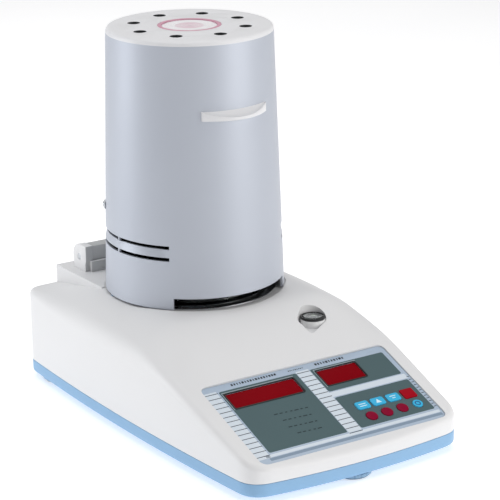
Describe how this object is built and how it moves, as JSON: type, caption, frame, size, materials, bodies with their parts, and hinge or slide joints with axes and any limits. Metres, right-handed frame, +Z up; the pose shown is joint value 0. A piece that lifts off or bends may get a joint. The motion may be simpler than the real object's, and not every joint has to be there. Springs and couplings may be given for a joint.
{
  "type": "grain moisture meter",
  "caption": "Bench grain moisture meter: a balance base with a sloped key and display panel, a bubble level and a tall round heating hood hinged at the rear.",
  "frame": {"origin": "middle of the whole meter's footprint, on the surface the feet stand on", "axes": "+Z up, -Y towards the operator and the key panel, +X to the operator's right"},
  "size_m": [0.2184, 0.3724, 0.325],
  "materials": {
    "blue_paint": "satin light blue paint",
    "white_paint": "smooth satin off-white paint",
    "hood_paint": "smooth satin blue-grey paint",
    "silver_foil": "matt printed facing",
    "red_filter": "dark red clear filter",
    "black_plastic": "fine moulded texture",
    "green_board": "solder mask",
    "dark_steel": "varnished laminations",
    "cell_alloy": "milled",
    "bright_steel": "brushed",
    "light_metal": "fine satin",
    "level_fluid": "clear",
    "soft_rubber": "matt",
    "red_plastic": "glossy",
    "crimson_key": "glossy",
    "cyan_key": "glossy",
    "foot_plastic": "moulded",
    "pan_alloy": "spun",
    "shield_glass": "clear",
    "window_pane": "clear with a warm tint",
    "liner_steel": "bright rolled",
    "bulb_glass": "frosted front",
    "porcelain": "glazed"
  },
  "bodies": {
    "base": {"base_tray": "blue_paint", "top_cover": "white_paint", "panel_overlay": "silver_foil", "display_window_left": "red_filter", "display_window_right": "red_filter", "led_display_left": "black_plastic", "led_display_right": "black_plastic", "panel_board": "green_board", "tact_switches": "black_plastic", "main_board": "green_board", "transformer": "dark_steel", "load_cell": "cell_alloy", "load_cell_block": "cell_alloy", "weighing_spindle": "bright_steel", "drying_chamber": "bright_steel", "hinge_bracket": "light_metal", "hinge_pin": "bright_steel", "bubble_level_body": "black_plastic", "bubble_level_lens": "level_fluid", "power_inlet": "black_plastic", "switch_housing": "black_plastic", "fuse_holder": "black_plastic", "serial_port": "bright_steel", "hood_buffers": "soft_rubber", "cover_screws": "bright_steel", "bracket_screws": "bright_steel", "cell_bolts": "bright_steel"},
    "hood": {"hood_shell": "hood_paint", "top_cap": "white_paint", "window_glass": "window_pane", "window_ring": "white_paint", "hood_handle": "white_paint", "hinge_bar": "light_metal", "inner_liner": "liner_steel", "lamp_bulb": "bulb_glass", "lamp_socket": "porcelain", "lamp_bracket": "bright_steel", "lamp_guard": "bright_steel", "temperature_probe": "bright_steel", "hood_bolts": "bright_steel", "liner_screws": "bright_steel"},
    "power_rocker": {"power_rocker": "red_plastic"},
    "fuse_cap": {"fuse_cap": "black_plastic"},
    "key_upper_1": {"key_upper_1": "cyan_key"},
    "key_upper_2": {"key_upper_2": "cyan_key"},
    "key_upper_3": {"key_upper_3": "cyan_key"},
    "key_upper_4": {"key_upper_4": "red_plastic"},
    "key_lower_1": {"key_lower_1": "crimson_key"},
    "key_lower_2": {"key_lower_2": "crimson_key"},
    "key_lower_3": {"key_lower_3": "crimson_key"},
    "key_lower_4": {"key_lower_4": "cyan_key"},
    "foot_pad_front": {"foot_pad_front": "soft_rubber"},
    "foot_pad_right": {"foot_pad_right": "soft_rubber"},
    "foot_pad_left": {"foot_pad_left": "soft_rubber"},
    "foot_screw_front": {"foot_screw_front": "foot_plastic"},
    "foot_screw_right": {"foot_screw_right": "foot_plastic"},
    "foot_screw_left": {"foot_screw_left": "foot_plastic"},
    "pan_support": {"pan_support": "bright_steel"},
    "sample_pan": {"sample_pan": "pan_alloy"},
    "wind_shield": {"wind_shield": "shield_glass"}
  },
  "joints": [
    {"name": "hood_hinge", "type": "hinge", "parent": "base", "child": "hood", "pos_m": [0, 0.156, 0.1095], "axis": [-1, 0, 0], "range_deg": [0, 72]},
    {"name": "key_upper_1_press", "type": "slide", "parent": "base", "child": "key_upper_1", "axis": [0, 0.3547, -0.935], "range_m": [0, 0.0005], "stiffness_N_per_m": 1500, "springref_m": -0.0003},
    {"name": "key_upper_2_press", "type": "slide", "parent": "base", "child": "key_upper_2", "axis": [0, 0.3547, -0.935], "range_m": [0, 0.0005], "stiffness_N_per_m": 1500, "springref_m": -0.0003},
    {"name": "key_upper_3_press", "type": "slide", "parent": "base", "child": "key_upper_3", "axis": [0, 0.3547, -0.935], "range_m": [0, 0.0005], "stiffness_N_per_m": 1500, "springref_m": -0.0003},
    {"name": "key_upper_4_press", "type": "slide", "parent": "base", "child": "key_upper_4", "axis": [0, 0.3547, -0.935], "range_m": [0, 0.0005], "stiffness_N_per_m": 1500, "springref_m": -0.0003},
    {"name": "key_lower_1_press", "type": "slide", "parent": "base", "child": "key_lower_1", "axis": [0, 0.3547, -0.935], "range_m": [0, 0.0005], "stiffness_N_per_m": 1500, "springref_m": -0.0003},
    {"name": "key_lower_2_press", "type": "slide", "parent": "base", "child": "key_lower_2", "axis": [0, 0.3547, -0.935], "range_m": [0, 0.0005], "stiffness_N_per_m": 1500, "springref_m": -0.0003},
    {"name": "key_lower_3_press", "type": "slide", "parent": "base", "child": "key_lower_3", "axis": [0, 0.3547, -0.935], "range_m": [0, 0.0005], "stiffness_N_per_m": 1500, "springref_m": -0.0003},
    {"name": "key_lower_4_press", "type": "slide", "parent": "base", "child": "key_lower_4", "axis": [0, 0.3547, -0.935], "range_m": [0, 0.0005], "stiffness_N_per_m": 1500, "springref_m": -0.0003},
    {"name": "foot_front_height", "type": "slide", "parent": "base", "child": "foot_pad_front", "axis": [0, 0, -1], "range_m": [0, 0.003]},
    {"name": "foot_front_turn", "type": "hinge", "parent": "foot_pad_front", "child": "foot_screw_front", "pos_m": [0, -0.169, 0.003], "axis": [0, 0, -1], "range_deg": [0, 1080]},
    {"name": "foot_right_height", "type": "slide", "parent": "base", "child": "foot_pad_right", "axis": [0, 0, -1], "range_m": [0, 0.003]},
    {"name": "foot_right_turn", "type": "hinge", "parent": "foot_pad_right", "child": "foot_screw_right", "pos_m": [0.085, 0.156, 0.003], "axis": [0, 0, -1], "range_deg": [0, 1080]},
    {"name": "foot_left_height", "type": "slide", "parent": "base", "child": "foot_pad_left", "axis": [0, 0, -1], "range_m": [0, 0.003]},
    {"name": "foot_left_turn", "type": "hinge", "parent": "foot_pad_left", "child": "foot_screw_left", "pos_m": [-0.085, 0.156, 0.003], "axis": [0, 0, -1], "range_deg": [0, 1080]},
    {"name": "pan_support_lift", "type": "slide", "parent": "base", "child": "pan_support", "axis": [0, 0, 1], "range_m": [0, 0.012]},
    {"name": "sample_pan_lift", "type": "slide", "parent": "pan_support", "child": "sample_pan", "axis": [0, 0, 1], "range_m": [0, 0.012]},
    {"name": "wind_shield_lift", "type": "slide", "parent": "base", "child": "wind_shield", "axis": [0, 0, 1], "range_m": [0, 0.012]},
    {"name": "power_switch", "type": "hinge", "parent": "base", "child": "power_rocker", "pos_m": [-0.024, 0.1762, 0.05], "axis": [-1, 0, 0], "range_deg": [0, 16]},
    {"name": "fuse_cap_turn", "type": "hinge", "parent": "base", "child": "fuse_cap", "pos_m": [0.002, 0.183, 0.05], "axis": [0, 1, 0], "range_deg": [0, 45]}
  ],
  "couplings": [
    {"joint": "foot_front_height", "follows": "foot_front_turn", "m_per_rad": 0.00015915},
    {"joint": "foot_right_height", "follows": "foot_right_turn", "m_per_rad": 0.00015915},
    {"joint": "foot_left_height", "follows": "foot_left_turn", "m_per_rad": 0.00015915}
  ]
}
